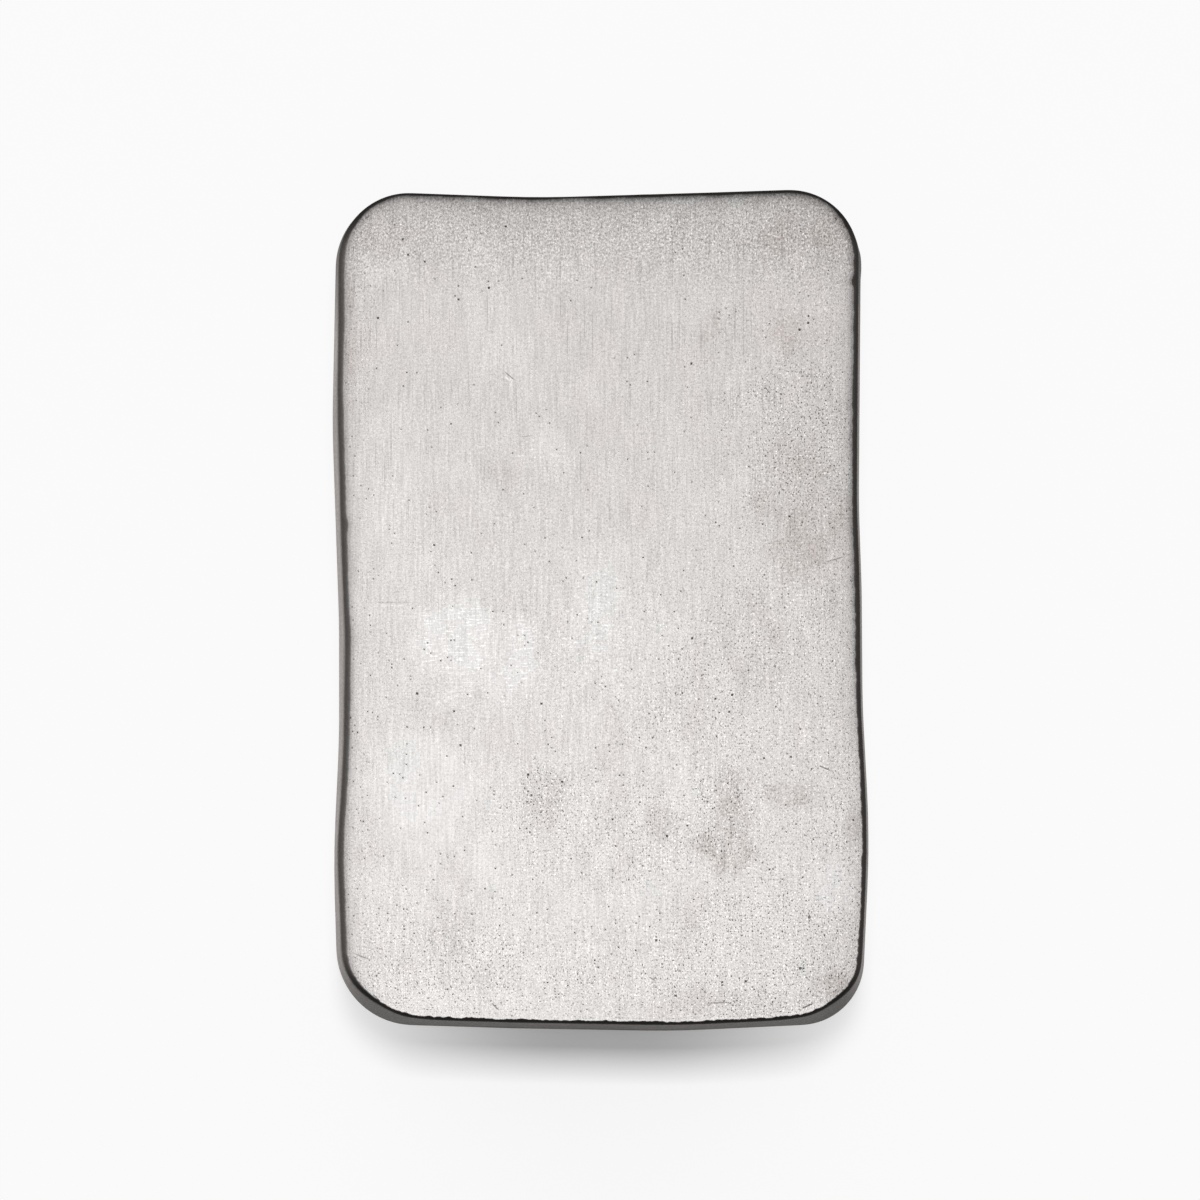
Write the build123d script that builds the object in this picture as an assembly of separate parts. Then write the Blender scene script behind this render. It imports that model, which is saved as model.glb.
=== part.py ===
from build123d import *
import math
import os
from collections import namedtuple

# A cast silver ingot of one kilogram, lying on its poured side with its ground face up.
# X runs across the bar, Y along it and Z up through its thickness. All sizes are in millimetres.
# The origin is the middle of the footprint, on the surface that the bar lies on.

# Overall size. Length and width are taken over the widest section, just above the rounded shoulder.
length = 100.0
width = 63.8
thickness = 16.0

# The mould's walls lean, so the ground face, which lay on the mould's floor, is the smaller one.
wall_draft = 3.0  # degrees from upright
rim_radius = 0.6  # worn round the ground face

# At the open top of the mould the metal rounded over, under a narrow upright land.
shoulder_radius = 2.6
shoulder_land = 0.4

# The poured side sank a little as the metal shrank, and left a flat band all round to lie on.
sink_depth = 0.35
sink_band = 7.0  # width of the band, from the widest section to the sink

# Silver, for the printed weight
silver_density = 10.49e-6  # kilograms per cubic millimetre

# A corner point is where two walls would meet if nothing rounded them off. It stands in from the
# corner of the overall box by the two insets.
Corner = namedtuple("Corner", "x_sign y_sign inset_x inset_y radius")
near_left = Corner(-1, -1, 0.75, 0.95, 9.2)
near_right = Corner(1, -1, 0.87, 1.02, 7.7)
far_right = Corner(1, 1, 0.80, -0.32, 8.8)
far_left = Corner(-1, 1, 0.54, 0.10, 8.7)

# A wall sways in and out between its corners. Each wave is a share of the way along the wall and
# stands out from the straight line, or in from it where its sway is below zero.
Wave = namedtuple("Wave", "share sway")
Wall = namedtuple("Wall", "start end outward waves")
wave_radius = 120.0
walls = (
    Wall(near_left, near_right, (0, -1), (Wave(0.33, 0.66), Wave(0.64, 1.02))),
    Wall(near_right, far_right, (1, 0), (
        Wave(0.22, 1.00), Wave(0.38, 0.15), Wave(0.52, 0.05), Wave(0.62, -0.30))),
    Wall(far_right, far_left, (0, 1), (Wave(0.30, -0.52), Wave(0.62, -1.00))),
    Wall(far_left, near_left, (-1, 0), (
        Wave(0.28, 0.63), Wave(0.52, -0.14), Wave(0.66, -0.12), Wave(0.80, 0.55))),
)


def corner_point(corner):
    """Where the two walls of a corner would meet, in plan."""
    x = corner.x_sign * (width / 2 - corner.inset_x)
    y = corner.y_sign * (length / 2 - corner.inset_y)
    return Vector(x, y)


def outline_points():
    """The points of the widest section's outline, anticlockwise, each with the radius that rounds it."""
    points = []
    for wall in walls:
        start = corner_point(wall.start)
        run = corner_point(wall.end) - start
        outward = Vector(*wall.outward)
        points.append((start, wall.start.radius))
        for wave in wall.waves:
            points.append((start + run * wave.share + outward * wave.sway, wave_radius))
    return points


def section(height, inset):
    """A level section through the bar, with every straight side of its outline moved in by the inset."""
    outline = outline_points()
    points = []
    radii = []
    for index, (point, radius) in enumerate(outline):
        side_before = (point - outline[index - 1][0]).normalized()
        side_after = (outline[(index + 1) % len(outline)][0] - point).normalized()
        outward_before = side_before.rotate(Axis.Z, -90)
        outward_after = side_after.rotate(Axis.Z, -90)
        mitre = (outward_before + outward_after) / (1 + outward_before.dot(outward_after))
        stands_out = side_before.cross(side_after).Z > 0
        points.append(point - mitre * inset)
        radii.append(radius - inset if stands_out else radius + inset)
    return Plane.XY.offset(height) * Face(Wire(FilletPolyline(*points, radius=radii, close=True).edges()))


def tapered_slab():
    """The cast block with sharp edges: upright up to its widest section, and drafted above it."""
    widest_height = shoulder_radius + shoulder_land
    draft_inset = (thickness - widest_height) * math.tan(math.radians(wall_draft))
    widest = section(widest_height, 0)
    ground_face = section(thickness, draft_inset)
    foot = extrude(widest, -widest_height)
    return foot + loft([widest, ground_face], ruled=True)


def sink():
    """The hollow that shrinkage leaves: an oval lens, with one curve across and a flatter one along."""
    half_across = width / 2 - sink_band
    half_along = length / 2 - sink_band
    radius_along = (half_along**2 + sink_depth**2) / (2 * sink_depth)
    sweep_angle = 2 * math.degrees(math.asin(half_along / radius_along))
    crown = ThreePointArc((-half_across, 0), (0, sink_depth), (half_across, 0))
    chord = Line(crown @ 1, crown @ 0)
    profile = Plane.XZ * Face(Wire([crown, chord]))
    turning_axis = Axis((0, 0, sink_depth - radius_along), (1, 0, 0))
    return revolve(profile.rotate(turning_axis, -sweep_angle / 2), turning_axis, sweep_angle)


def ingot():
    """The finished bar, with its footprint centred on the origin."""
    slab = tapered_slab()
    slab = fillet(slab.faces().sort_by(Axis.Z)[0].edges(), shoulder_radius)
    slab = fillet(slab.faces().sort_by(Axis.Z)[-1].edges(), rim_radius)
    bar = slab - sink()
    middle = bar.bounding_box().center()
    return Pos(-middle.X, -middle.Y, 0) * bar


os.makedirs("parts", exist_ok=True)
bar = ingot()
export_step(bar, "parts/ingot.step")
size = bar.bounding_box().size
print(f"ingot {size.X:.2f} x {size.Y:.2f} x {size.Z:.2f} mm, {bar.volume / 1000:.2f} cm3,"
      f" {bar.volume * silver_density:.4f} kg of silver")
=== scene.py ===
# %% [markdown]
# # A cast silver ingot, lying with its ground face up
#
# This lesson dresses one finished CAD part. The bar was poured into an open iron mould, which left it
# swaying walls and a dull cast skin. Its flat face was then ground on a belt along its length, so it is
# bright, finely lined and full of small pores. The part itself fixes every size. Here the surface gets
# its dents, pores, lines and stains.

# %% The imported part
import math
from collections import namedtuple

import bpy
import numpy as np
from mathutils import Matrix, Vector, noise
from mathutils.bvhtree import BVHTree


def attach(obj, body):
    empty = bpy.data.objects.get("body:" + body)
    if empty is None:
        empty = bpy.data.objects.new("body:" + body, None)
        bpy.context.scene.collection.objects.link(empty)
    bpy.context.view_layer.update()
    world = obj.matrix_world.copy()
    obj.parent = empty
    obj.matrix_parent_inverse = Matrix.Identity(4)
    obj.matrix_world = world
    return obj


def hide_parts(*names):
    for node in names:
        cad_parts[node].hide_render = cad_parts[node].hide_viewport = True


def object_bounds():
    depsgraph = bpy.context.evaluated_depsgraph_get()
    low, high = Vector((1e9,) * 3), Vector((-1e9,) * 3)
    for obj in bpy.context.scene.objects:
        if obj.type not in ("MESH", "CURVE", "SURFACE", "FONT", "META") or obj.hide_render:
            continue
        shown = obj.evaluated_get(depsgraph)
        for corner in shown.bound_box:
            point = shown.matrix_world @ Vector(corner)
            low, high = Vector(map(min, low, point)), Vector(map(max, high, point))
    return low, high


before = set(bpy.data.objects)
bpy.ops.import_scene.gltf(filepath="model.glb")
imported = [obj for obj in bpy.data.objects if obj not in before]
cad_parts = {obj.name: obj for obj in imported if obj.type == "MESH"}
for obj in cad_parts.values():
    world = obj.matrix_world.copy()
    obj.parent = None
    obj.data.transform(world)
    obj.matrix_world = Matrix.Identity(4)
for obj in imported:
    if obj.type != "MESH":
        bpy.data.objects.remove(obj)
cad_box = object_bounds()
cad_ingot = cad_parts["ingot"]
mm = 0.001
top_height = cad_box[1].z / mm
print("the part is", [round(v / mm, 2) for v in cad_box[1] - cad_box[0]], "mm")

# %% [markdown]
# ## The camera
#
# The photograph looks almost straight down from far away, with the bar's near wall just in view. A long
# lens from 1.5 m gives the same flat look. The lens follows from how many pixels one millimetre covers,
# so nothing has to be fitted by eye. The camera's matrix is built from three axes, because the usual
# aiming call can't hold the picture upright when it looks straight down.

# %% The camera
picture_pixels = 1200
pixels_per_mm = 8.4  # at the widest section
widest_height = 3.0
camera_distance = 1500.0
lean_near = math.radians(2.0)
lean_left = math.radians(0.8)
bar_middle_px = (600.5, 610.5)


def make_camera():
    """A long lens over the bar, leaning a little towards its near end and its left side."""
    data = bpy.data.cameras.new("camera")
    data.sensor_width = 36.0
    field = picture_pixels / pixels_per_mm
    data.lens = data.sensor_width * camera_distance / field
    data.clip_start = 0.1
    data.clip_end = 20.0
    backward = Vector((-math.tan(lean_left), -math.tan(lean_near), 1)).normalized()
    right = Vector((0, 1, 0)).cross(backward).normalized()
    up = backward.cross(right)
    aim_x = (picture_pixels / 2 - bar_middle_px[0]) / pixels_per_mm
    aim_y = (bar_middle_px[1] - picture_pixels / 2) / pixels_per_mm
    aim = Vector((aim_x, aim_y, widest_height))
    place = Matrix((right, up, backward)).transposed().to_4x4()
    place.translation = (aim + backward * camera_distance) * mm
    camera = bpy.data.objects.new("camera", data)
    bpy.context.scene.collection.objects.link(camera)
    camera.matrix_world = place
    bpy.context.scene.camera = camera
    return camera


camera = make_camera()
print("lens", round(camera.data.lens, 1), "mm")

# %% [markdown]
# ## Places on the ground face
#
# Stains, dents and scratches are placed by where they show in the photograph. One helper turns such a
# place, in pixels of the picture, into millimetres on the ground face. It allows for the face standing
# nearer to the camera than the widest section, and for the camera's lean.

# %% From the picture to the face
def on_face(px, py):
    """Millimetres across and along the ground face, for a place in the picture."""
    rise = top_height - widest_height
    scale = pixels_per_mm * camera_distance / (camera_distance - rise)
    across = (px - bar_middle_px[0]) / scale - rise * math.tan(lean_left)
    along = (bar_middle_px[1] - py) / scale - rise * math.tan(lean_near)
    return across, along


print("the middle of the picture is at", [round(v, 2) for v in on_face(600, 600)], "mm on the face")

# %% [markdown]
# ## The slab's mesh
#
# The CAD surface has the right shape but too few points to carry dents and pores. So a finer mesh is
# laid over it: one grid for the ground face, rings down the rim, the wall and the rounded shoulder, and
# a coarser grid underneath. It could be had by remeshing the CAD surface, but a remesh blurs the rim
# and gives no say over where the points go. Rays shot at the CAD part give each ring its place, so the
# fine mesh can't drift away from the part.

# %% The widest outline, by rays
cad_surface = BVHTree.FromPolygons([v.co / mm for v in cad_ingot.data.vertices],
                                   [tuple(p.vertices) for p in cad_ingot.data.polygons])
cells_across = 160
cells_along = 250
outline_height = 2.8  # on the upright land, where the bar is widest


def outline_at(height, rays=4000):
    """The bar's outline at a height, anticlockwise, as one ray from the middle finds it per direction."""
    points = []
    for step in range(rays):
        angle = 2 * math.pi * step / rays
        away = Vector((math.cos(angle), math.sin(angle), 0))
        hit = cad_surface.ray_cast(Vector((0, 0, height)), away)[0]
        points.append((hit.x, hit.y))
    return np.array(points)


def even_stations(outline):
    """Stations along an outline: the four corners first cut it, then each side is shared out evenly."""
    corners = [int(np.argmax(outline @ np.array(sign))) for sign in ((-1, -1), (1, -1), (1, 1), (-1, 1))]
    counts = (cells_across, cells_along, cells_across, cells_along)
    stations = []
    for side, start in enumerate(corners):
        stop = corners[(side + 1) % 4]
        run = np.arange(start, stop + 1 if stop > start else stop + 1 + len(outline)) % len(outline)
        part = outline[run]
        steps = np.hypot(*np.diff(part, axis=0).T)
        travelled = np.concatenate([[0], np.cumsum(steps)])
        wanted = np.linspace(0, travelled[-1], counts[side] + 1)[:-1]
        stations.append(np.stack([np.interp(wanted, travelled, part[:, k]) for k in (0, 1)], axis=1))
    return np.concatenate(stations)


def smoothed(values, passes):
    """Each value is moved to the mean of itself and its neighbours round the closed outline."""
    for _ in range(passes):
        values = (np.roll(values, 1, axis=0) + 2 * values + np.roll(values, -1, axis=0)) / 4
    return values


widest = smoothed(even_stations(outline_at(outline_height)), 3)
station_count = len(widest)
along_outline = np.roll(widest, -2, axis=0) - np.roll(widest, 2, axis=0)
along_outline /= np.linalg.norm(along_outline, axis=1)[:, None]
outward = smoothed(np.stack([along_outline[:, 1], -along_outline[:, 0]], axis=1), 3)
outward /= np.linalg.norm(outward, axis=1)[:, None]
print(station_count, "stations round the bar")

# %% [markdown]
# ## Rim, wall and shoulder
#
# Where grinding met the wall, the rim is not the same all round. At the far end the face rolls over
# softly before it drops. At the near end and on the right the rim is crisp and chipped. So each size
# of the rim has one number for each of the four sides, blended round the corners by the way that the
# wall faces there. Noise roughens the result, and each recorded nick adds to it. The rim also sways a
# little along the left side and stands further in at the two near corners. The wall leans to make up
# for that, so the widest section stays the CAD part's, but for one low lump on the right wall near the
# far end.

# %% Sizes that change round the bar
def rough(points, per_mm, seed, detail=2):
    """Noise from -1 to 1 at points in millimetres, with so many bumps per millimetre."""
    shift = Vector((seed * 17.3, seed * 5.1, seed * 9.7))
    return np.array([noise.fractal(Vector((x, y, 0)) * per_mm + shift, 0.6, 2.0, detail) for x, y in points])


def round_the_bar(near, right, far, left):
    """One number per station, from one number for each side of the bar."""
    across, along = outward[:, 0], outward[:, 1]
    ends = np.where(along < 0, near, far) * along ** 2
    return ends + np.where(across < 0, left, right) * across ** 2


def wall_at(height, clearance=3):
    """Where the bar's wall is at a height, as a ray from outside finds it in line with each station."""
    points = []
    for place, out in zip(widest, outward):
        start = Vector((place[0] + out[0] * clearance, place[1] + out[1] * clearance, height))
        hit = cad_surface.ray_cast(start, Vector((-out[0], -out[1], 0)))[0]
        points.append((hit.x, hit.y))
    return smoothed(np.array(points), 2)


def distances_from(points, px, py):
    """How far each point is, in millimetres, from a place in the picture."""
    return np.hypot(*(points - np.array(on_face(px, py))).T)


Nick = namedtuple("Nick", "px py reach run drop")
nicks = (
    Nick(720, 1017, 0.45, 0.35, 0.35),
    Nick(344, 525, 0.80, 0.25, 0.20),
    Nick(855, 651, 0.40, 0.30, 0.25),
    Nick(856, 669, 0.40, 0.30, 0.25),
    Nick(858, 280, 0.70, 0.25, 0.30),
    Nick(640, 1019, 0.50, 0.15, 0.15),
    Nick(470, 1016, 0.40, 0.20, 0.15),
    Nick(858, 860, 0.50, 0.20, 0.20),
)
Sway = namedtuple("Sway", "px py reach shift")
sways = (
    Sway(340, 265, 6.0, 0.20),
    Sway(338, 350, 5.0, 0.07),
    Sway(341, 450, 5.0, -0.06),
    Sway(346, 650, 5.0, -0.12),
    Sway(344, 850, 5.0, 0.17),
    Sway(378, 1008, 4.0, -0.58),
    Sway(834, 1008, 4.0, -0.72),
)
print(len(nicks), "nicks and", len(sways), "sways")

# %% Where the wall meets the ground face
low_height = 3.2  # between these two heights the CAD part's wall is straight
high_height = 15.2
low_wall = wall_at(low_height)
high_wall = wall_at(high_height)
wall_slope = (low_wall - high_wall) / (high_height - low_height)
sharp_rim = high_wall - wall_slope * (top_height - high_height)
rim_shift = np.zeros(station_count)
for sway in sways:
    away = distances_from(sharp_rim, sway.px, sway.py)
    rim_shift += sway.shift * np.exp(-(away / sway.reach) ** 2)
sharp_rim = sharp_rim + outward * rim_shift[:, None]
chips = rough(sharp_rim, 1.1, 3)
wander = rough(sharp_rim, 0.2, 4)
rim_run = round_the_bar(near=0.42, right=0.62, far=1.40, left=0.62)
rim_run *= 1 + 0.12 * wander + round_the_bar(near=0.30, right=0.16, far=0.02, left=0.05) * chips
rim_drop = round_the_bar(near=0.45, right=0.50, far=0.45, left=0.45)
rim_drop *= 1 + 0.10 * wander + round_the_bar(near=0.20, right=0.12, far=0.02, left=0.05) * chips
for nick in nicks:
    away = distances_from(sharp_rim, nick.px, nick.py)
    rim_run += nick.run * np.exp(-(away / nick.reach) ** 2)
    rim_drop += nick.drop * np.exp(-(away / nick.reach) ** 2)
lump_px = (859, 256)
lump_height = 0.08
lump_reach = 1.5
swell = lump_height * np.exp(-(distances_from(sharp_rim, *lump_px) / lump_reach) ** 4)
print("the rim is", round(rim_run.min(), 2), "to", round(rim_run.max(), 2), "mm wide")

# %% The rings, from the ground face down to the poured side
Ring = namedtuple("Ring", "points heights travelled")
rim_length = np.hypot(rim_run, rim_drop)
noise_shift = 40  # each of three levels down the wall reads another part of the noise
cast_dents = np.array([rough(widest + noise_shift * level, 0.35, 6) for level in range(3)])
dent_depth = 0.07
shoulder_radius = 2.6  # as in the CAD part


def rim_ring(turn):
    """One ring of the rim. A turn of 0 is the edge of the ground face and a turn of 1 is the wall."""
    angle = turn * math.pi / 2
    inset = rim_run * (1 - math.sin(angle))
    depth = rim_drop * (1 - math.cos(angle))
    points = sharp_rim - outward * inset[:, None] + wall_slope * depth[:, None]
    return Ring(points, top_height - depth, np.hypot(rim_run - inset, depth))


def wall_ring(share):
    """One ring of the wall, from a share of 0 under the rim to 1 at the widest section."""
    heights = (top_height - rim_drop) * (1 - share) + widest_height * share
    depth = top_height - heights
    level = share * 2
    low = int(min(level, 1))
    dents = cast_dents[low] * (1 - level + low) + cast_dents[low + 1] * (level - low)
    swing = dent_depth * dents * math.sin(math.pi * share) ** 0.5 + (swell - rim_shift) * share
    points = sharp_rim + wall_slope * depth[:, None] + outward * swing[:, None]
    return Ring(points, heights, rim_length + depth - rim_drop)


def shoulder_ring(turn):
    """One ring of the rounded shoulder, from a turn of 0 at the land to 1 on the poured side."""
    angle = turn * math.pi / 2
    inset = shoulder_radius * (1 - math.cos(angle)) - swell * (1 - turn)
    height = shoulder_radius * (1 - math.sin(angle))
    heights = np.full(station_count, height)
    return Ring(widest - outward * inset[:, None], heights, rim_length + top_height - height)


rings = [rim_ring(step / 9) for step in range(10)]
rings += [wall_ring(step / 10) for step in range(1, 11)]
rings += [shoulder_ring(step / 7) for step in range(8)]
print(len(rings), "rings")

# %% [markdown]
# ## The ground face and the poured side
#
# Each flat side is a grid whose border is a ring, filled in by blending the four sides towards each
# other, as a soap film would. The ground face waves by a few hundredths of a millimetre, because a
# belt never grinds quite flat. The poured side is hidden in the photograph. It keeps the shallow sink
# of the CAD part, read by rays from below, at half the points. With each point goes its nearest
# station and how far it lies past the edge of the ground face, because the finish needs both.

# %% Filling a ring with a grid
def filled(border, across, along):
    """Rows of points, from the near end, inside a closed border that starts at the near left corner."""
    near = border[:across + 1]
    right = border[across:across + along + 1]
    far = border[across + along:2 * across + along + 1][::-1]
    left = np.concatenate([border[2 * across + along:], border[:1]])[::-1]
    u = np.linspace(0, 1, across + 1)[None, :, None]
    v = np.linspace(0, 1, along + 1)[:, None, None]
    blend = (1 - v) * near[None] + v * far[None] + (1 - u) * left[:, None] + u * right[:, None]
    blend -= (1 - u) * (1 - v) * near[0] + u * (1 - v) * near[-1] + (1 - u) * v * far[0] + u * v * far[-1]
    return blend


def border_order(across, along):
    """The places of a grid's border points, in the order of the stations."""
    order = [(0, i) for i in range(across)]
    order += [(j, across) for j in range(along)]
    order += [(along, i) for i in range(across, 0, -1)]
    order += [(j, 0) for j in range(along, 0, -1)]
    return order


vertices = []
quads = []
station_of = []
travelled = []


def add_ring(ring, stations):
    """Adds a ring's points to the mesh and gives their numbers."""
    first = len(vertices)
    for point, height in zip(ring.points, ring.heights):
        vertices.append((point[0], point[1], height))
    station_of.extend(stations)
    travelled.extend(ring.travelled)
    return list(range(first, first + len(ring.points)))


def add_grid(grid, heights, nearest, distances, ring_numbers, across, along):
    """Adds the inside of a grid, joined to a ring that is already there."""
    numbers = np.zeros((along + 1, across + 1), int)
    for number, place in zip(ring_numbers, border_order(across, along)):
        numbers[place] = number
    for j in range(1, along):
        for i in range(1, across):
            numbers[j, i] = len(vertices)
            vertices.append((grid[j, i, 0], grid[j, i, 1], heights[j, i]))
            station_of.append(nearest[j, i])
            travelled.append(distances[j, i])
    cells = []
    for j in range(along):
        for i in range(across):
            cells.append((numbers[j, i], numbers[j, i + 1], numbers[j + 1, i + 1], numbers[j + 1, i]))
    return cells


def nearest_stations(grid):
    """The nearest station to each point of a grid on the ground face, and how far off the edge is."""
    edge = rings[0].points
    count = 2 * station_count
    fence = BVHTree.FromPolygons(
        [(x, y, z) for x, y in edge for z in (-1, 1)],
        [(2 * k, 2 * k + 1, (2 * k + 3) % count, (2 * k + 2) % count) for k in range(station_count)])
    found = [fence.find_nearest((x, y, 0)) for x, y in grid.reshape(-1, 2)]
    nearest = np.array([hit[2] for hit in found]).reshape(grid.shape[:2])
    distances = np.array([hit[3] for hit in found]).reshape(grid.shape[:2])
    return nearest, distances


face_grid = filled(rings[0].points, cells_across, cells_along)
nearest, inward = nearest_stations(face_grid)
flat_points = face_grid.reshape(-1, 2)
broad_waves = 0.025 * rough(flat_points, 0.05, 8)
fine_waves = 0.006 * rough(flat_points, 0.22, 9)
waves = (broad_waves + fine_waves).reshape(inward.shape)
settle_width = 3  # the face is level at its edge, and dips and waves from there inwards
belt_dip = 0.03
settle = np.clip(inward / settle_width, 0, 1)
face_heights = np.minimum(top_height - belt_dip * settle + waves * settle, top_height)
print("the face waves by", round(float(np.ptp(face_heights)), 3), "mm")


# %% Building the slab
def underside(x, y):
    """The height of the CAD part's poured side."""
    hit = cad_surface.ray_cast(Vector((x, y, -5)), Vector((0, 0, 1)))[0]
    return hit.z if hit else 0.0


every_station = range(station_count)
ring_numbers = [add_ring(ring, every_station) for ring in rings]
face_cells = add_grid(face_grid, face_heights, nearest, -inward, ring_numbers[0], cells_across, cells_along)
quads.extend(face_cells)
for upper, lower in zip(ring_numbers, ring_numbers[1:]):
    for k in every_station:
        n = (k + 1) % station_count
        quads.append((upper[k], lower[k], lower[n], upper[n]))

foot = rings[-1]
join_width = 0.4  # of the strip where the points are halved
coarse = Ring(foot.points[::2] - outward[::2] * join_width, foot.heights[::2],
              foot.travelled[::2] + join_width)
coarse_numbers = add_ring(coarse, every_station[::2])
for k in range(len(coarse_numbers)):
    n = (k + 1) % len(coarse_numbers)
    start, middle, end = (ring_numbers[-1][(2 * k + step) % station_count] for step in range(3))
    quads.append((start, coarse_numbers[k], middle))
    quads.append((middle, coarse_numbers[k], coarse_numbers[n]))
    quads.append((middle, coarse_numbers[n], end))
half_across, half_along = cells_across // 2, cells_along // 2
foot_grid = filled(coarse.points, half_across, half_along)
foot_heights = np.array([[underside(x, y) for x, y in row] for row in foot_grid])
first_station = np.zeros(foot_heights.shape, int)
past_everything = np.full(foot_heights.shape, 22.0)  # beyond every border, so cast skin covers it
foot_cells = add_grid(foot_grid, foot_heights, first_station, past_everything, coarse_numbers,
                      half_across, half_along)
quads.extend(cell[::-1] for cell in foot_cells)

slab_mesh = bpy.data.meshes.new("ingot_skin")
slab_mesh.from_pydata([Vector(v) * mm for v in vertices], [], quads)
slab_mesh.polygons.foreach_set("use_smooth", [True] * len(slab_mesh.polygons))
places = np.array(vertices)
station_of = np.array(station_of)
travelled = np.array(travelled)
print(len(slab_mesh.polygons), "faces in the slab")

# %% [markdown]
# ## Where each finish goes
#
# Numbers stored on the mesh's points tell the material where it is. Two of them measure how far a
# point is from the dark line on the rim, a painted dark reflection, and from the cast skin, in
# millimetres. Others say how soft and how frayed those borders are, how grey the painted reflection on
# the line is, how much painted light the skin takes on each side and how far down the painted shade
# under the rim reaches, how bright the painted highlight inside the rim is, and how much painted shade
# dims the face towards a rim. They could be masks worked out in the material, but the material doesn't
# know the outline and the mesh does.

# %% Numbers on the points
def store(name, values, domain="POINT"):
    """Keeps a number on every point or face of the slab."""
    attribute = slab_mesh.attributes.new(name, "FLOAT", domain)
    attribute.data.foreach_set("value", np.array(values, np.float32))


corner_share = (2 * outward[:, 0] * outward[:, 1]) ** 2
line_start = round_the_bar(near=0.04, right=0.09, far=1.12, left=-0.02)
# How grey the painted dark reflection on the rim is on each side.
rim_reflection_tone = round_the_bar(near=0.05, right=0.30, far=0.05, left=0.75) * (1 - 0.8 * corner_share)
skin_start = rim_length + round_the_bar(near=0.05, right=-0.08, far=0.30, left=-0.08)
# Painted shade just under the rim reaches this far down, and the skin's painted light differs by side.
under_rim_shade_reach = round_the_bar(near=0.3, right=2.5, far=1.0, left=5.0)
skin_painted_light = round_the_bar(near=0.52, right=1.00, far=0.35, left=1.62) * (1 - 0.4 * corner_share)
# The painted light on the skin is weaker round the far end, so it is darker there.
skin_painted_light *= 1 - 0.6 * np.clip((widest[:, 1] - 32) / 10, 0, 1)
softness = round_the_bar(near=0.06, right=0.11, far=0.09, left=0.17)
fraying = round_the_bar(near=0.30, right=0.22, far=0.08, left=0.12)
# A painted highlight just inside the rim, strongest at the near end.
rim_highlight_share = round_the_bar(near=0.4, right=0.1, far=0.0, left=0.1)
# Painted shade that dims the ground face towards each rim.
rim_shade_edge = round_the_bar(near=0.05, right=0.72, far=0.66, left=0.52)
# The painted shade on the right rim is weaker towards the near end.
rim_shade_edge *= 1 - 0.75 * np.clip(outward[:, 0], 0, 1) * np.clip(-widest[:, 1] / 20, 0, 1)
rim_shade_reach = round_the_bar(near=0.30, right=0.36, far=0.70, left=0.42)
broad_rim_shade = round_the_bar(near=0.0, right=0.12, far=0.13, left=0.07)
past_line = travelled - line_start[station_of]
inside = np.clip(-past_line, 0, None)
painted_rim_shade = rim_shade_edge[station_of] * np.exp(-inside / rim_shade_reach[station_of])
painted_rim_shade += broad_rim_shade[station_of] * np.exp(-inside / 3.5)
# A faint painted shade that grows towards the right side.
painted_rim_shade += 0.001 * places[:, 0]
store("under_rim_shade_reach", under_rim_shade_reach[station_of])
store("softness", softness[station_of])
store("fraying", fraying[station_of])
store("past_line", past_line)
store("past_skin", travelled - skin_start[station_of])
store("skin_painted_light", skin_painted_light[station_of])
store("rim_reflection_tone", rim_reflection_tone[station_of])
store("rim_highlight", rim_highlight_share[station_of])
store("painted_rim_shade", painted_rim_shade)
print("dullness up to", round(float(painted_rim_shade.max()), 2))

# %% [markdown]
# ## Stains, wear and where the pores crowd
#
# The face carries soft grey stains, pale worn patches with fine strokes across them, and patches where
# dark specks crowd. They are wide and soft, so numbers on the mesh's points hold them well, and the
# material only has to break their borders with fine noise. How crowded the pores are is stored on the
# faces, because each pore takes one face. The largest pores are placed one by one, as the photograph
# shows them.

# %% Patches on the face
Patch = namedtuple("Patch", "px py width height strength")
stains = (
    Patch(727, 795, 26, 60, 0.9),
    Patch(724, 850, 50, 48, 0.9),
    Patch(793, 797, 46, 34, 0.7),
    Patch(745, 815, 24, 30, 0.5),
    Patch(545, 800, 40, 60, 0.35),
    Patch(660, 825, 36, 40, 0.4),
    Patch(708, 325, 22, 34, 0.6),
    Patch(786, 330, 44, 40, 0.7),
    Patch(806, 520, 80, 150, 0.75),
    Patch(750, 640, 60, 90, 0.35),
    Patch(350, 320, 12, 170, 0.6),
    Patch(836, 985, 44, 40, 0.8),
    Patch(640, 930, 100, 50, 0.3),
    Patch(450, 705, 70, 60, 0.4),
    Patch(806, 225, 110, 60, 0.7),
    Patch(390, 235, 60, 50, 0.3),
    Patch(455, 935, 50, 60, 0.35),
    Patch(505, 470, 60, 60, 0.2),
    Patch(700, 1004, 230, 26, 0.3),
    Patch(855, 822, 18, 50, 0.5),
    Patch(448, 632, 14, 20, 0.3),
)
worn = (
    Patch(605, 640, 120, 100, 0.4),
    Patch(594, 610, 60, 110, 0.6),
    Patch(518, 660, 36, 80, 0.8),
    Patch(455, 640, 80, 76, 0.9),
    Patch(470, 690, 70, 60, 0.6),
    Patch(425, 800, 100, 110, 0.9),
    Patch(490, 860, 50, 60, 0.6),
    Patch(590, 930, 110, 60, 0.5),
    Patch(390, 500, 60, 120, 0.3),
    Patch(790, 590, 60, 60, 0.3),
    Patch(836, 890, 44, 56, 0.7),
    Patch(648, 920, 50, 70, 0.5),
    Patch(757, 950, 60, 44, 0.5),
    Patch(545, 455, 50, 40, 0.4),
    Patch(680, 780, 30, 60, 0.4),
)
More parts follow.
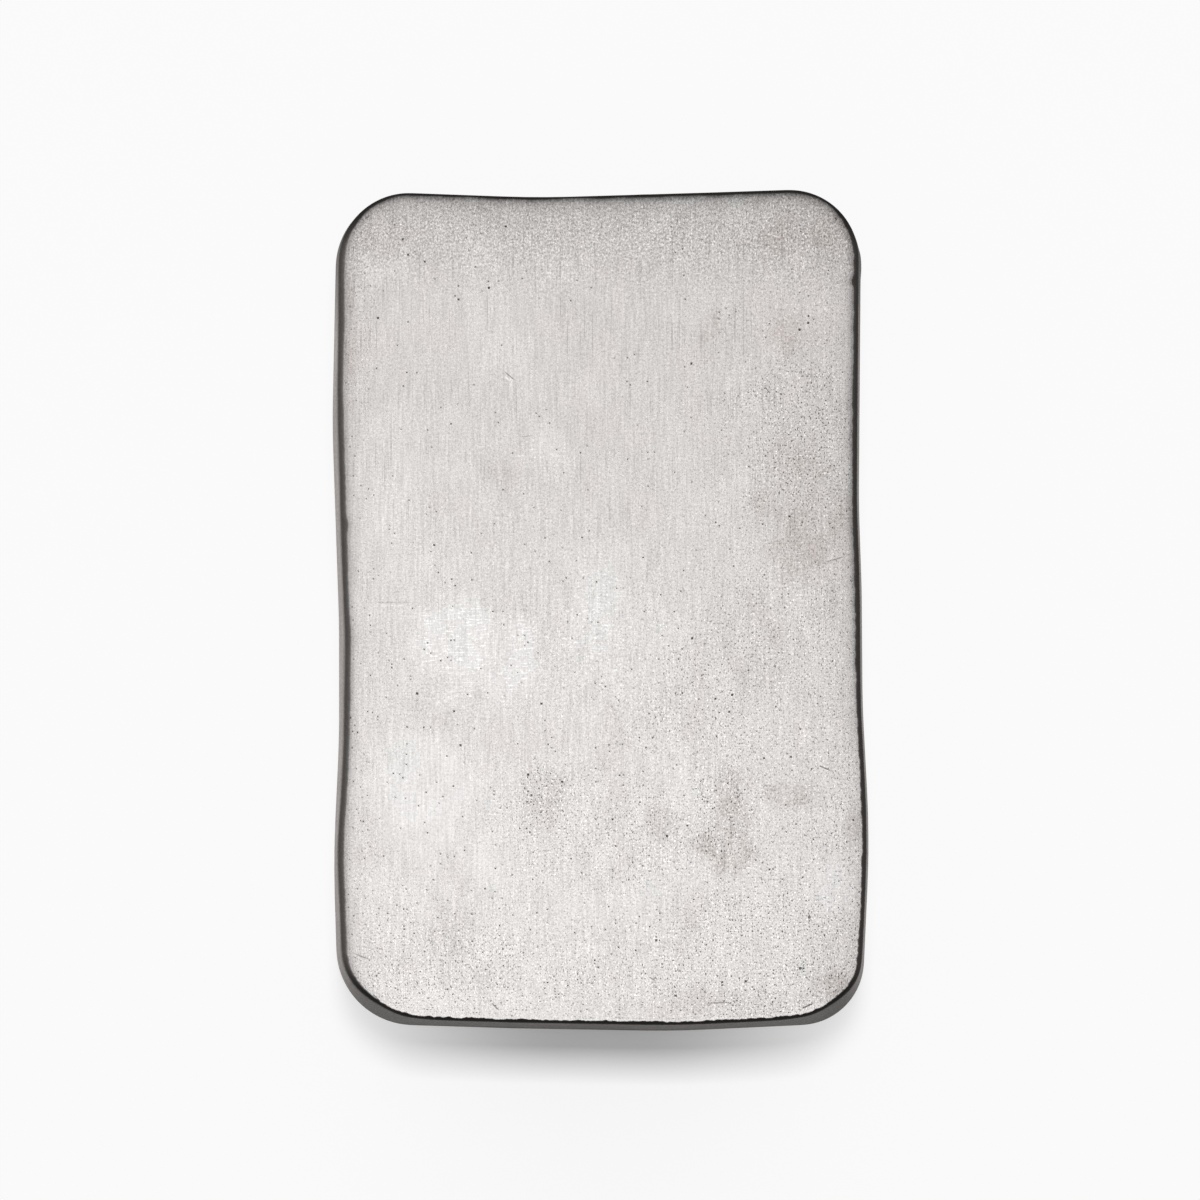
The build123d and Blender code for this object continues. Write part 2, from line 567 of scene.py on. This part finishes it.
speckles = (
    Patch(800, 440, 110, 150, 0.55),
    Patch(790, 960, 190, 120, 0.65),
    Patch(440, 960, 170, 80, 0.40),
    Patch(600, 830, 220, 110, 0.35),
    Patch(547, 795, 50, 60, 0.75),
    Patch(720, 820, 60, 90, 0.55),
    Patch(600, 640, 170, 110, 0.15),
    Patch(780, 620, 120, 120, 0.25),
    Patch(640, 960, 240, 90, 0.35),
    Patch(360, 330, 30, 190, 0.30),
    Patch(700, 700, 140, 140, 0.25),
)


print(len(stains), "stains,", len(worn), "worn patches and", len(speckles), "speckled ones")

# %% The patches as numbers on the points
ragged = 0.45 * rough(places[:, :2], 0.35, 11, 4)
patch_pixels_per_mm = 8.5
face_half_length = 48.0


def patch_strength(patches):
    """How strongly any patch marks each point, with a ragged border."""
    total = np.zeros(len(places))
    for patch in patches:
        middle = on_face(patch.px, patch.py)
        sideways = (places[:, 0] - middle[0]) / (patch.width / 2 / patch_pixels_per_mm)
        lengthways = (places[:, 1] - middle[1]) / (patch.height / 2 / patch_pixels_per_mm)
        reach = np.hypot(sideways, lengthways) + ragged
        fade = np.clip(1.5 - reach, 0, 1)
        total = np.maximum(total, patch.strength * fade ** 2 * (3 - 2 * fade))
    return total


def toward_far_end(along):
    """0 at the near end of the ground face and 1 at its far end."""
    return np.clip((along + face_half_length) / (2 * face_half_length), 0, 1)


toward_far = toward_far_end(places[:, 1])
wear = patch_strength(worn)
rightward = np.clip(places[:, 0] / 28, 0, 1)
speckled = 0.12 + 0.32 * (1 - toward_far) + 0.36 * rightward + patch_strength(speckles)
speckled = np.clip(speckled * (1 - 0.6 * wear), 0, 1)
store("stain", patch_strength(stains))
store("worn", wear)
store("speckled", speckled)
store("toward_far", toward_far)
print("the wear is up to", round(float(wear.max()), 2))

# %% The largest pores
Pore = namedtuple("Pore", "px py")
large_pores = (
    Pore(799, 328), Pore(808, 316), Pore(808, 322), Pore(690, 364), Pore(434, 546), Pore(788, 515),
    Pore(693, 640), Pore(731, 695), Pore(729, 711), Pore(717, 700), Pore(561, 783), Pore(611, 819),
    Pore(668, 837), Pore(686, 826), Pore(723, 985), Pore(722, 982), Pore(674, 994), Pore(745, 982),
    Pore(401, 240), Pore(408, 253), Pore(426, 262), Pore(506, 225), Pore(489, 287), Pore(458, 299),
    Pore(377, 317), Pore(418, 693), Pore(454, 711), Pore(459, 745), Pore(529, 776), Pore(531, 795),
    Pore(543, 705), Pore(358, 731), Pore(349, 718), Pore(800, 967), Pore(804, 969), Pore(844, 968),
    Pore(842, 974), Pore(836, 990), Pore(725, 1000), Pore(792, 758), Pore(765, 757), Pore(853, 819),
    Pore(860, 904), Pore(861, 893), Pore(799, 728), Pore(656, 940), Pore(770, 870), Pore(811, 918),
)
print(len(large_pores), "large pores recorded")

# %% How crowded the pores are
certain = 10.0  # a chance that no draw can miss
cell_middles = places[np.array(face_cells)].mean(axis=1)[:, :2]
cell_inward = -travelled[np.array(face_cells)].max(axis=1)
cell_far = toward_far_end(cell_middles[:, 1])
crowding = 0.03 + 0.75 * (1 - cell_far) ** 1.5 + 0.30 * np.clip(cell_middles[:, 0] / 30, 0, 1)
crowding += 1.1 * (1 - cell_far) * np.clip(1 - cell_inward / 5, 0, 1)
crowding += (0.35 + 0.6 * (1 - cell_far)) * rough(cell_middles, 0.15, 13, 3)
crowding = np.clip(crowding, 0.02, 2) * (cell_inward > 0.2)
crowded = np.zeros(len(slab_mesh.polygons))
crowded[:len(face_cells)] = crowding
large = np.zeros(len(slab_mesh.polygons))
for pore in large_pores:
    large[int(np.argmin(distances_from(cell_middles, pore.px, pore.py)))] = certain
store("crowded", crowded, "FACE")
store("large_pore", large, "FACE")
print(int((large > 0).sum()), "large pores placed")

# %% [markdown]
# ## Pores, by Geometry Nodes
#
# Gas left the cooling silver full of small holes, and grinding opened them. There are far too many to
# place by hand, so a node tree picks cells of the ground face by chance, more where they crowd. Each
# picked cell is inset to a small square and pushed down, and its floor and sides remember that they
# are a pore, so that the material can paint shade into them. Holes drawn by the material alone would be
# missing from the mesh. The same tree runs twice: once for the small pores, whose chance is low, and
# once for the recorded large ones, whose chance is certain.

# %% A tree that sinks pores
def pore_tree(material):
    """Picks cells of the face and sinks each one to a pore. Gives the tree and its inputs' identifiers."""
    tree = bpy.data.node_groups.new("pores", "GeometryNodeTree")
    identifiers = {}
    for name, kind in (("Geometry", "Geometry"), ("Chance", "String"), ("Share", "Float"), ("Seed", "Int"),
                       ("Smallest", "Float"), ("Largest", "Float"), ("Depth", "Float")):
        socket = tree.interface.new_socket(name, in_out="INPUT", socket_type="NodeSocket" + kind)
        identifiers[name] = socket.identifier
    tree.interface.new_socket("Geometry", in_out="OUTPUT", socket_type="NodeSocketGeometry")

    def node(kind, settings=(), sockets=()):
        """A node with its settings, and its sockets given values or links."""
        made = tree.nodes.new(kind)
        for key, value in dict(settings).items():
            setattr(made, key, value)
        for key, value in dict(sockets).items():
            if isinstance(value, bpy.types.NodeSocket):
                tree.links.new(value, made.inputs[key])
            else:
                made.inputs[key].default_value = value
        return made

    given = node("NodeGroupInput").outputs
    crowd = node("GeometryNodeInputNamedAttribute", {"data_type": "FLOAT"}, {"Name": given["Chance"]})
    chance = node("ShaderNodeMath", {"operation": "MULTIPLY"},
                  {0: crowd.outputs["Attribute"], 1: given["Share"]})
    draw = node("FunctionNodeRandomValue", {"data_type": "FLOAT"}, {"Seed": given["Seed"]})
    picked = node("FunctionNodeCompare", {"data_type": "FLOAT", "operation": "LESS_THAN"},
                  {"A": draw.outputs[1], "B": chance.outputs[0]})
    kept = node("GeometryNodeCaptureAttribute", {"domain": "FACE"}, {"Geometry": given["Geometry"]})
    kept.capture_items.new("FLOAT", "picked")
    tree.links.new(picked.outputs[0], kept.inputs[1])
    inset = node("GeometryNodeExtrudeMesh", {"mode": "FACES"}, {
        "Mesh": kept.outputs["Geometry"], "Selection": kept.outputs[1], "Offset Scale": 0.0})
    size = node("FunctionNodeRandomValue", {"data_type": "FLOAT"},
                {2: given["Smallest"], 3: given["Largest"], "Seed": 7})
    shrunk = node("GeometryNodeScaleElements", {"domain": "FACE"}, {
        "Geometry": inset.outputs["Mesh"], "Selection": inset.outputs["Top"], "Scale": size.outputs[1]})
    share = node("FunctionNodeRandomValue", {"data_type": "FLOAT"}, {2: -1.0, 3: -0.4, "Seed": 9})
    down = node("ShaderNodeMath", {"operation": "MULTIPLY"}, {0: share.outputs[1], 1: given["Depth"]})
    hole = node("GeometryNodeExtrudeMesh", {"mode": "FACES"}, {
        "Mesh": shrunk.outputs["Geometry"], "Selection": inset.outputs["Top"],
        "Offset Scale": down.outputs[0]})
    floor = node("GeometryNodeScaleElements", {"domain": "FACE"}, {
        "Geometry": hole.outputs["Mesh"], "Selection": hole.outputs["Top"], "Scale": 0.6})
    inner = node("FunctionNodeBooleanMath", {"operation": "OR"},
                 {0: hole.outputs["Top"], 1: hole.outputs["Side"]})
    marked = node("GeometryNodeStoreNamedAttribute", {"data_type": "FLOAT", "domain": "FACE"}, {
        "Geometry": floor.outputs["Geometry"], "Selection": inner.outputs[0], "Name": "pore", "Value": 1.0})
    real = node("GeometryNodeRealizeInstances", (), {"Geometry": marked.outputs["Geometry"]})
    dressed = node("GeometryNodeSetMaterial", (), {
        "Geometry": real.outputs["Geometry"], "Material": material})
    node("NodeGroupOutput", (), {"Geometry": dressed.outputs["Geometry"]})
    return tree, identifiers


# %% [markdown]
# ## The metal's finish
#
# One material covers the whole bar, and the stored numbers tell it where it is. The ground face is
# satin silver with fine lines and broader brushing along the bar, a peppery grain, and dark specks with
# pale burrs. Its far end is sandier and darker, the darkening being painted shade, and the worn patches
# are smoother. Painted shade dims the face towards a rim. The rim holds a thin dark line, where belt and
# cast skin meet, which is a painted dark reflection, with a thin painted highlight just inside it. The
# walls and the poured side keep the dull, warm grey cast skin, with painted light that differs by side
# and painted shade just under the rim. The finish could be three materials, but their borders are ragged
# in the photograph, and one material can fray them with noise.

# %% Shader maths as Python
class Signal:
    """The output of a shader node, with arithmetic that adds the nodes for it."""

    def __init__(self, tree, socket=None):
        self.tree = tree
        self.socket = socket

    def node(self, kind, settings=(), sockets=(), output=0):
        """Any node: its settings are set first, then its sockets are given values or links."""
        made = self.tree.nodes.new(kind)
        for key, value in dict(settings).items():
            setattr(made, key, value)
        for key, value in dict(sockets).items():
            if isinstance(value, Signal):
                self.tree.links.new(value.socket, made.inputs[key])
            else:
                made.inputs[key].default_value = value
        return Signal(self.tree, made.outputs[output] if made.outputs else None)

    def maths(self, operation, *values):
        return self.node("ShaderNodeMath", {"operation": operation}, dict(enumerate(values)))

    def __add__(self, other):
        return self.maths("ADD", self, other)

    def __radd__(self, other):
        return self.maths("ADD", other, self)

    def __sub__(self, other):
        return self.maths("SUBTRACT", self, other)

    def __rsub__(self, other):
        return self.maths("SUBTRACT", other, self)

    def __mul__(self, other):
        return self.maths("MULTIPLY", self, other)

    def __rmul__(self, other):
        return self.maths("MULTIPLY", other, self)

    def between(self, low, high):
        """0 below low, 1 above high and smooth between them."""
        return self.node("ShaderNodeMapRange", {"interpolation_type": "SMOOTHSTEP"},
                         {"Value": self, "From Min": low, "From Max": high})

    def larger(self, other):
        return self.maths("MAXIMUM", self, other)


def mix_colour(mask, first, second):
    """A colour that goes from the first to the second as the mask goes from 0 to 1."""
    return mask.node("ShaderNodeMix", {"data_type": "RGBA"}, {0: mask, 6: first, 7: second}, output=2)


def shade(colour, amount):
    """A colour times an amount."""
    return colour.node("ShaderNodeMix", {"data_type": "RGBA", "blend_type": "MULTIPLY"},
                       {0: 1.0, 6: colour, 7: amount}, output=2)


def grain(place, per_mm, detail=1.0, roughness=0.5):
    """Noise from 0 to 1 with so many bumps per millimetre across, along and up."""
    scaled = place.node("ShaderNodeVectorMath", {"operation": "MULTIPLY"}, {0: place, 1: per_mm})
    return place.node("ShaderNodeTexNoise", {"noise_dimensions": "3D"}, {
        "Vector": scaled, "Scale": 1.0, "Detail": detail, "Roughness": roughness})


def stored(start, name):
    return start.node("ShaderNodeAttribute", {"attribute_name": name}, output="Fac")


# %% [markdown]
# ## Scratches
#
# Handling left a few short, shallow cuts on the face. They could be cut into the mesh, but they are
# thinner than its cells. So the material draws each one, as a fade stretched to the scratch's length
# and width. A depth above zero darkens the metal as painted shade in the cut, and one below zero
# brightens it as a painted highlight.

# %% The scratches
Scratch = namedtuple("Scratch", "start end width depth")
scratches = (
    Scratch((370, 602), (419, 603), 0.11, 0.18),
    Scratch((376, 605), (410, 606), 0.08, -0.15),
    Scratch((503, 370), (516, 381), 0.10, 0.45),
    Scratch((505, 376), (510, 381), 0.10, -0.25),
    Scratch((825, 562), (846, 556), 0.10, 0.40),
    Scratch((353, 953), (372, 960), 0.12, 0.40),
    Scratch((491, 1002), (500, 1011), 0.12, 0.55),
    Scratch((818, 765), (832, 771), 0.12, 0.55),
    Scratch((703, 1003), (732, 1002), 0.12, 0.40),
    Scratch((800, 1009), (815, 1002), 0.13, 0.60),
    Scratch((795, 980), (818, 968), 0.10, 0.15),
    Scratch((648, 976), (656, 981), 0.10, 0.50),
    Scratch((766, 232), (781, 237), 0.12, -0.35),
    Scratch((520, 437), (534, 435), 0.10, 0.25),
)


def on_scratch(place, scratch):
    """1 along the middle of a scratch, fading to 0 at its sides and its ends."""
    begin, end = Vector(on_face(*scratch.start)), Vector(on_face(*scratch.end))
    run = end - begin
    middle = (begin + end) / 2
    inside = place.node("ShaderNodeMapping", {"vector_type": "TEXTURE"}, {
        "Vector": place, "Location": (middle.x, middle.y, top_height),
        "Rotation": (0, 0, math.atan2(run.y, run.x)), "Scale": (run.length / 2, scratch.width, 5.0)})
    away = place.node("ShaderNodeVectorMath", {"operation": "LENGTH"}, {0: inside}, output="Value")
    return 1 - away.between(0.55, 1.0)


print(len(scratches), "scratches")


# %% The colours of the metal
near_silver = (0.742, 0.720, 0.709, 1)
# The far end's darker silver is painted shade.
far_shaded_silver = (0.595, 0.573, 0.562, 1)
dark_cloud = (0.64, 0.60, 0.59, 1)
plain_cloud = (0.68, 0.672, 0.656, 1)
stained_silver = (0.45, 0.395, 0.365, 1)
worn_silver = (0.84, 0.845, 0.84, 1)
# Painted shade inside the pores.
pore_shade_black = (0.05, 0.045, 0.04, 1)
# A painted highlight just inside the rim.
highlight_white = (0.95, 0.94, 0.93, 1)
dark_skin = (0.21, 0.192, 0.18, 1)
pale_skin = (0.40, 0.372, 0.355, 1)
# The dark line on the rim is a painted dark reflection.
black_rim_reflection = (0.03, 0.026, 0.024, 1)
grey_rim_reflection = (0.19, 0.175, 0.165, 1)
print("the ground face goes from", near_silver[:3], "to", far_shaded_silver[:3])


# %% The silver
def silver_material():
    """Satin ground silver, a painted dark reflection round it as a line, and dull cast skin beyond."""
    material = bpy.data.materials.new("cast_silver")
    material.use_nodes = True
    tree = material.node_tree
    shader = tree.nodes["Principled BSDF"]
    start = Signal(tree)
    coordinates = start.node("ShaderNodeTexCoord", output="Object")
    place = start.node("ShaderNodeVectorMath", {"operation": "SCALE"}, {0: coordinates, "Scale": 1000.0})
    moved = start.node("ShaderNodeVectorMath", {"operation": "ADD"}, {0: place, 1: (31.0, 17.0, 5.0)})

    # Noise frays the two borders. ground is 1 on the ground face, and skin is 1 on the cast skin.
    past_line = stored(start, "past_line")
    soft = stored(start, "softness")
    fray = (grain(place, (1.8, 1.8, 1.8), 3.0, 0.65) - 0.5) * stored(start, "fraying")
    ground = 1 - (past_line + fray).between(soft * -1.0, soft)
    skin = (stored(start, "past_skin") + fray * 1.5).between(soft * -2.0, soft * 1.5 + 0.08)

    # The patterns of the ground face, from fine lines along the bar to broad clouds.
    far = stored(start, "toward_far")
    lines = grain(place, (6.2, 0.24, 1.0), 1.0, 0.5)
    brushing = grain(moved, (2.8, 0.20, 1.0), 2.0, 0.6)
    streaks = grain(moved, (5.0, 0.13, 1.0), 1.0, 0.5)
    pepper = grain(moved, (7.6, 6.2, 5.0), 0.0, 0.5)
    specks = grain(place, (6.0, 3.8, 4.0), 1.0, 0.6)
    burrs = grain(moved, (6.0, 3.8, 4.0), 1.0, 0.6)
    sand = grain(moved, (3.4, 3.0, 3.0), 2.0, 0.65)
    strokes = grain(place, (0.8, 6.2, 1.0), 1.0, 0.5)
    cloud = grain(place, (0.16, 0.11, 0.1), 3.0, 0.6)
    patchy = grain(moved, (0.35, 0.22, 0.3), 2.0, 0.6).between(0.40, 0.62)
    stain = stored(start, "stain")
    worn = stored(start, "worn")
    speckled = stored(start, "speckled")
    sandy = far.between(0.86, 0.97)
    scuffs = worn * far.between(0.28, 0.40) * (burrs * 0.35 + strokes * 0.65).between(0.52, 0.66)

    # The tone of the ground face darkens towards the far end, which is painted shade, with clouds, stains
    # and worn patches.
    tone = mix_colour(far.between(0.05, 0.95), near_silver, far_shaded_silver)
    tone = mix_colour(cloud.between(0.48, 0.66) * 0.35, tone, dark_cloud)
    tone = mix_colour(0.35 - 0.35 * cloud.between(0.34, 0.50), tone, plain_cloud)
    stain_grain = sand.between(0.35, 0.65)
    tone = mix_colour(stain * (0.08 + 0.30 * patchy + 0.34 * stain_grain), tone, stained_silver)
    tone = mix_colour(worn * 0.28 + scuffs * 0.5, tone, worn_silver)

    # The marks brighten or darken that tone: lines, streaks, pepper, specks, burrs, sand and scratches,
    # whose shade and highlights are painted.
    marks = (0.77 + 0.46 * lines) * (0.82 + 0.36 * brushing)
    marks = marks * (1 - (0.06 + 0.18 * patchy) * far * (streaks - 0.5).between(0.08, 0.22))
    marks = marks * (1 + (0.40 - 0.30 * worn) * (pepper - 0.5))
    marks = marks * (1 - 0.95 * speckled * (specks - 0.5).between(0.06, 0.25))
    marks = marks * (1 + 0.55 * speckled * (burrs - 0.5).between(0.06, 0.25))
    marks = marks * (1 + 0.80 * sandy * (burrs - specks))
    marks = marks * (1 - (0.03 + 0.04 * patchy + 0.16 * sandy) * (sand - 0.5).between(-0.1, 0.2))
    # Each scratch paints shade, or a highlight where its depth is below zero.
    for scratch in scratches:
        marks = marks * (1 - scratch.depth * on_scratch(place, scratch))
    # Painted shade dims the face towards the rim.
    ground_colour = shade(tone, marks * (1 - stored(start, "painted_rim_shade")))
    # Painted shade darkens the pores' floors and sides.
    ground_colour = mix_colour(stored(start, "pore") * 0.75, ground_colour, pore_shade_black)
    # A painted highlight: a thin bright line just inside the rim.
    rim_highlight = stored(start, "rim_highlight") * past_line.between(-0.28, -0.12) * (1 - past_line.between(-0.06, 0.0))
    ground_colour = mix_colour(rim_highlight * 0.7, ground_colour, highlight_white)

    # Beyond the ground face come the dark line, a painted dark reflection, and the cast skin, which carries
    # painted shade just under the rim and painted light that differs by side.
    skin_grain = grain(place, (3.6, 3.6, 2.6), 3.0, 0.65)
    skin_colour = mix_colour(skin_grain.between(0.30, 0.70), dark_skin, pale_skin)
    skin_colour = shade(skin_colour, 0.75 + 0.5 * cloud)
    # The dark line on the rim is a painted dark reflection, greyer on the left.
    rim_reflection_colour = mix_colour(stored(start, "rim_reflection_tone"), black_rim_reflection, grey_rim_reflection)
    # Painted shade halves the skin's colour just under the rim, and painted light sets its level by side.
    painted_shade_under_rim = 0.5 + 0.5 * stored(start, "past_skin").between(0.0, stored(start, "under_rim_shade_reach"))
    outside = mix_colour(skin, rim_reflection_colour, shade(skin_colour, stored(start, "skin_painted_light") * painted_shade_under_rim))
    colour = mix_colour(ground, outside, ground_colour)

    roughness = 0.68 + (lines - 0.5) * 0.10 + (sand - 0.5) * 0.12 - scuffs * 0.06 + (1 - ground) * 0.06
    relief = ground * (lines * 0.25 + sand * (0.25 + sandy) + speckled * (burrs - specks) * 0.5)
    relief = relief + (1 - ground) * skin_grain * 1.6
    bump = start.node("ShaderNodeBump", (), {"Height": relief, "Strength": 0.8, "Distance": 0.00006})
    for name, signal in (("Base Color", colour), ("Roughness", roughness), ("Normal", bump)):
        tree.links.new(signal.socket, shader.inputs[name])
    shader.inputs["Metallic"].default_value = 1.0
    return material


silver = silver_material()
print(len(silver.node_tree.nodes), "nodes in the silver")

# %% The finished bar
pores, pore_inputs = pore_tree(silver)


def sink_pores(mesh, chance, share, seed, smallest, largest, depth):
    """Runs the pore tree on a mesh and gives the result as a plain mesh."""
    piece = bpy.data.objects.new("rough_slab", mesh)
    bpy.context.scene.collection.objects.link(piece)
    modifier = piece.modifiers.new("pores", "NODES")
    modifier.node_group = pores
    for name, value in (("Chance", chance), ("Share", share), ("Seed", seed), ("Smallest", smallest),
                        ("Largest", largest), ("Depth", depth)):
        modifier[pore_inputs[name]] = value
    evaluated = piece.evaluated_get(bpy.context.evaluated_depsgraph_get())
    sunk = bpy.data.meshes.new_from_object(evaluated)
    bpy.data.objects.remove(piece)
    print(len(sunk.polygons) - len(mesh.polygons), "faces added by pores")
    return sunk


small_mesh = sink_pores(slab_mesh, "crowded", share=0.05, seed=5, smallest=0.16, largest=0.42,
                        depth=0.00010)
ingot_mesh = sink_pores(small_mesh, "large_pore", share=1.0, seed=6, smallest=0.45, largest=0.75,
                        depth=0.00018)
ingot_mesh.name = "ingot_bar"
ingot_bar = bpy.data.objects.new("ingot_bar", ingot_mesh)
bpy.context.scene.collection.objects.link(ingot_bar)
triangles = sum(len(p.vertices) - 2 for p in ingot_mesh.polygons)
print(triangles, "triangles in the bar, material", [m.name for m in ingot_mesh.materials if m])
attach(ingot_bar, "root")
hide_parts("ingot")

# %% [markdown]
# ## Floor and light
#
# The bar lies on white paper under a long softbox, which runs the same way as the bar. It is mostly
# beyond the far end, so the only shadow falls below the near end, and it is narrow, so the sides throw
# almost none. A second, weak softbox hangs over the near side. Part of the paper's white is its own,
# for the camera and for reflections, and the rest is light, which the bar can shade. Below the middle
# of the near end the light's part is larger, so the shadow is deepest there and fades towards the
# corners. The two parts add up to one white.

# %% The white floor
middle_fade = (0.003, 0.043)  # off the bar's middle line, from deepest shadow to none
near_fade = (-0.046, -0.034)  # along the bar, from full shadow to none
open_paper = (0.1, 0.1, 0.1, 1)
shaded_paper = (0.86, 0.86, 0.86, 1)
open_glow = 0.867
glow_lost = 0.68  # in the deepest shadow


def white_floor():
    """A wide sheet of white paper, just under the bar."""
    half = 2.5
    corners = [(-half, -half, 0), (half, -half, 0), (half, half, 0), (-half, half, 0)]
    mesh = bpy.data.meshes.new("floor")
    mesh.from_pydata(corners, [], [(0, 1, 2, 3)])
    mesh.transform(Matrix.Translation((0, 0, -0.01 * mm)))
    floor = bpy.data.objects.new("floor", mesh)
    bpy.context.scene.collection.objects.link(floor)
    material = bpy.data.materials.new("white_paper")
    material.use_nodes = True
    tree = material.node_tree
    tree.nodes.clear()
    start = Signal(tree)
    seen = start.node("ShaderNodeLightPath", output="Is Camera Ray")
    for name in ("Is Glossy Ray", "Is Transmission Ray"):
        seen = seen.larger(start.node("ShaderNodeLightPath", output=name))
    coordinates = start.node("ShaderNodeTexCoord", output="Object")
    across = start.node("ShaderNodeSeparateXYZ", (), {0: coordinates}, output="X")
    along = start.node("ShaderNodeSeparateXYZ", (), {0: coordinates}, output="Y")
    middle = 1 - start.maths("ABSOLUTE", across).between(*middle_fade)
    shaded = middle * (1 - along.between(*near_fade))
    white = mix_colour(shaded, open_paper, shaded_paper)
    paper = start.node("ShaderNodeBsdfDiffuse", (), {"Color": white})
    strength = seen * (open_glow - glow_lost * shaded)
    glow = start.node("ShaderNodeEmission", (), {"Color": (1, 1, 1, 1), "Strength": strength})
    both = start.node("ShaderNodeAddShader", (), {0: paper, 1: glow})
    start.node("ShaderNodeOutputMaterial", (), {"Surface": both})
    mesh.materials.append(material)
    return floor


floor = white_floor()
print("floor", floor.name)


# %% The lamps
def softbox(name, centre, size, power):
    """A soft lamp that faces the bar."""
    data = bpy.data.lights.new(name, "AREA")
    data.shape = "RECTANGLE"
    data.size, data.size_y = size
    data.energy = power
    lamp = bpy.data.objects.new(name, data)
    bpy.context.scene.collection.objects.link(lamp)
    away = Vector(centre).normalized()
    side = Vector((1, 0, 0))
    place = Matrix((side, away.cross(side), away)).transposed().to_4x4()
    place.translation = centre
    lamp.matrix_world = place
    return lamp


far_lamp = softbox("far_softbox", centre=(0.0, 0.43, 1.55), size=(0.30, 0.42), power=17.0)
near_lamp = softbox("near_softbox", centre=(0.0, -0.10, 1.6), size=(0.30, 0.5), power=1.5)
room_light = 0.22
world = bpy.data.worlds.new("studio")
world.use_nodes = True
surroundings = world.node_tree.nodes["Background"]
surroundings.inputs["Color"].default_value = (1, 1, 1, 1)
surroundings.inputs["Strength"].default_value = room_light
bpy.context.scene.world = world
bpy.context.scene.view_settings.view_transform = "Standard"
print("lamps", far_lamp.data.energy, near_lamp.data.energy, "watts")
